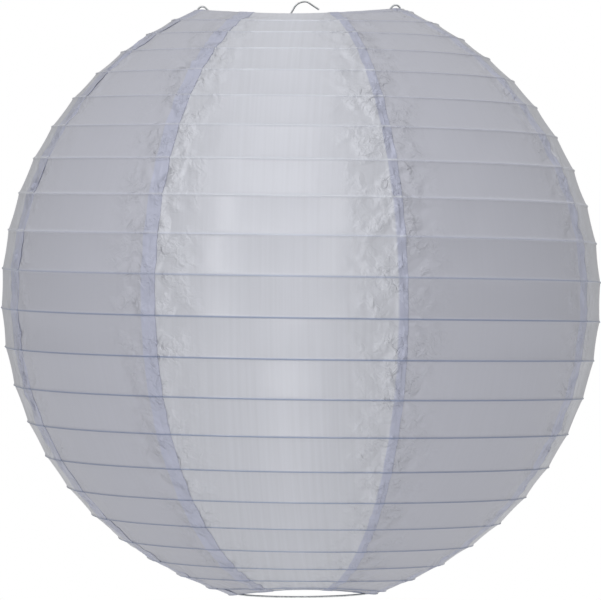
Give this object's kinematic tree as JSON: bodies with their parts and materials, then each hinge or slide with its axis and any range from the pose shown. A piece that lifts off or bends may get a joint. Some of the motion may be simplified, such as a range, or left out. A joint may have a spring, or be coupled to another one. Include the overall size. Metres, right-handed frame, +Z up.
{
  "type": "hanging lantern shade",
  "caption": "Round fabric lantern shade on a helical wire rib, held open by a wire expander and hung from a hook; the hem slides up to fold it flat.",
  "frame": {"origin": "the point inside the hook that the shade hangs from", "axes": "+Z up along the pull on the hook, -Y the front, +X to the right, along the crossbar"},
  "size_m": [0.5999, 0.6, 0.5946],
  "materials": {
    "satin_fabric": "satin",
    "rib_steel": "satin",
    "frame_steel": "satin"
  },
  "bodies": {
    "hook": {"hanging_hook": "frame_steel"},
    "shade": {"gore_1": "satin_fabric", "gore_2": "satin_fabric", "gore_3": "satin_fabric", "gore_4": "satin_fabric", "gore_5": "satin_fabric", "gore_6": "satin_fabric", "gore_7": "satin_fabric", "gore_8": "satin_fabric", "rib_wire": "rib_steel", "top_ring": "rib_steel", "crossbar": "frame_steel", "left_leg": "frame_steel", "right_leg": "frame_steel", "base_ring": "frame_steel"},
    "hem": {"hem_ring": "rib_steel"}
  },
  "joints": [
    {"name": "shade_swing", "type": "hinge", "parent": "hook", "child": "shade", "pos_m": [-0.01597, 0, -0.01501], "axis": [1, 0, 0], "range_deg": [-90, 90]},
    {"name": "shade_collapse", "type": "slide", "parent": "shade", "child": "hem", "axis": [0, 0, 1], "range_m": [0, 0.55], "deforming": ["gore_1", "gore_2", "gore_3", "gore_4", "gore_5", "gore_6", "gore_7", "gore_8", "rib_wire"]}
  ]
}
